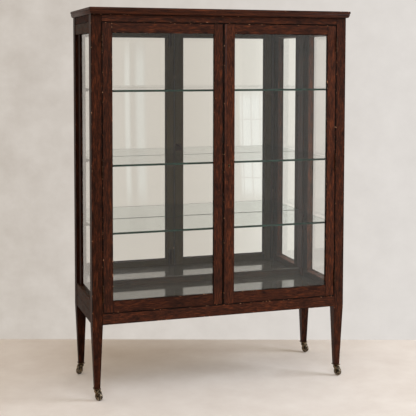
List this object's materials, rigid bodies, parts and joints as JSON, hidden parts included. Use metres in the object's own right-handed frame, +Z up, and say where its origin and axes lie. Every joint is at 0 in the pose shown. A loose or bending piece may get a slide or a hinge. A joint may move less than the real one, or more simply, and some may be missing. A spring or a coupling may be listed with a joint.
{
  "type": "china cabinet",
  "caption": "Tall display cabinet with hinged glass doors, glazed sides, mirror back and glass shelves, on tapered legs with swivel castors.",
  "frame": {"origin": "on the floor, under the middle of the top board", "axes": "+Z up, +X to the right of someone facing the doors, -Y out of the doors towards them"},
  "size_m": [1.065, 0.4074, 1.5],
  "materials": {
    "mahogany": "worn polish",
    "backing_board": "raw",
    "window_glass": "clear",
    "plate_glass": "clear",
    "mirror": "silvered",
    "brass": "aged",
    "hinge_brass": "tarnished"
  },
  "bodies": {
    "case": {"front_left_leg": "mahogany", "front_right_leg": "mahogany", "back_left_leg": "mahogany", "back_right_leg": "mahogany", "top_board": "mahogany", "front_top_rail": "mahogany", "front_bottom_rail": "mahogany", "left_top_rail": "mahogany", "right_top_rail": "mahogany", "left_bottom_rail": "mahogany", "right_bottom_rail": "mahogany", "left_sash_stiles": "mahogany", "right_sash_stiles": "mahogany", "left_sash_rails": "mahogany", "right_sash_rails": "mahogany", "left_side_beads": "mahogany", "right_side_beads": "mahogany", "floor_board": "mahogany", "door_stop": "mahogany", "back_top_rail": "mahogany", "back_bottom_rail": "mahogany", "back_board": "backing_board", "left_side_glass": "window_glass", "right_side_glass": "window_glass", "lower_shelf": "plate_glass", "middle_shelf": "plate_glass", "upper_shelf": "plate_glass", "mirror_plate": "mirror", "shelf_studs": "brass", "castor_plates": "brass", "case_hinge_leaves": "hinge_brass"},
    "left_door": {"left_door_hinge_stile": "mahogany", "left_door_meeting_stile": "mahogany", "left_door_bottom_rail": "mahogany", "left_door_top_rail": "mahogany", "left_door_glass": "window_glass", "left_door_beads": "mahogany", "left_door_hinge_leaves": "hinge_brass", "flat_bolt_plates": "brass"},
    "right_door": {"right_door_hinge_stile": "mahogany", "right_door_meeting_stile": "mahogany", "right_door_bottom_rail": "mahogany", "right_door_top_rail": "mahogany", "right_door_glass": "window_glass", "right_door_beads": "mahogany", "right_door_hinge_leaves": "hinge_brass", "lock_case": "brass", "keyhole_bush": "brass"},
    "lower_flat_bolt": {"lower_flat_bolt": "brass"},
    "upper_flat_bolt": {"upper_flat_bolt": "brass"},
    "lock_bolt": {"lock_bolt": "brass"},
    "front_left_castor_fork": {"front_left_castor_fork": "brass"},
    "front_left_castor_wheel": {"front_left_castor_wheel": "brass"},
    "front_right_castor_fork": {"front_right_castor_fork": "brass"},
    "front_right_castor_wheel": {"front_right_castor_wheel": "brass"},
    "back_left_castor_fork": {"back_left_castor_fork": "brass"},
    "back_left_castor_wheel": {"back_left_castor_wheel": "brass"},
    "back_right_castor_fork": {"back_right_castor_fork": "brass"},
    "back_right_castor_wheel": {"back_right_castor_wheel": "brass"}
  },
  "joints": [
    {"name": "left_door_hinge", "type": "hinge", "parent": "case", "child": "left_door", "pos_m": [-0.48125, -0.18375, 0.892], "axis": [0, 0, -1], "range_deg": [0, 170]},
    {"name": "right_door_hinge", "type": "hinge", "parent": "case", "child": "right_door", "pos_m": [0.48125, -0.18375, 0.892], "axis": [0, 0, 1], "range_deg": [0, 170]},
    {"name": "lock_bolt_slide", "type": "slide", "parent": "right_door", "child": "lock_bolt", "axis": [-1, 0, 0], "range_m": [0, 0.008]},
    {"name": "lower_flat_bolt_slide", "type": "slide", "parent": "left_door", "child": "lower_flat_bolt", "axis": [0, 0, -1], "range_m": [0, 0.01]},
    {"name": "upper_flat_bolt_slide", "type": "slide", "parent": "left_door", "child": "upper_flat_bolt", "axis": [0, 0, 1], "range_m": [0, 0.01]},
    {"name": "front_left_castor_swivel", "type": "hinge", "parent": "case", "child": "front_left_castor_fork", "pos_m": [-0.5025, -0.16075, 0.039], "axis": [0, 0, 1], "continuous": true},
    {"name": "front_left_castor_roll", "type": "hinge", "parent": "front_left_castor_fork", "child": "front_left_castor_wheel", "pos_m": [-0.49691, -0.16904, 0.017], "axis": [0.829, 0.5592, 0], "continuous": true},
    {"name": "front_right_castor_swivel", "type": "hinge", "parent": "case", "child": "front_right_castor_fork", "pos_m": [0.5025, -0.16075, 0.039], "axis": [0, 0, 1], "continuous": true},
    {"name": "front_right_castor_roll", "type": "hinge", "parent": "front_right_castor_fork", "child": "front_right_castor_wheel", "pos_m": [0.50688, -0.16974, 0.017], "axis": [0.8988, 0.4384, 0], "continuous": true},
    {"name": "back_left_castor_swivel", "type": "hinge", "parent": "case", "child": "back_left_castor_fork", "pos_m": [-0.5025, 0.17425, 0.039], "axis": [0, 0, 1], "continuous": true},
    {"name": "back_left_castor_roll", "type": "hinge", "parent": "back_left_castor_fork", "child": "back_left_castor_wheel", "pos_m": [-0.51038, 0.16809, 0.017], "axis": [0.6157, -0.788, 0], "continuous": true},
    {"name": "back_right_castor_swivel", "type": "hinge", "parent": "case", "child": "back_right_castor_fork", "pos_m": [0.5025, 0.17425, 0.039], "axis": [0, 0, 1], "continuous": true},
    {"name": "back_right_castor_roll", "type": "hinge", "parent": "back_right_castor_fork", "child": "back_right_castor_wheel", "pos_m": [0.50719, 0.16542, 0.017], "axis": [0.8829, 0.4695, 0], "continuous": true}
  ]
}
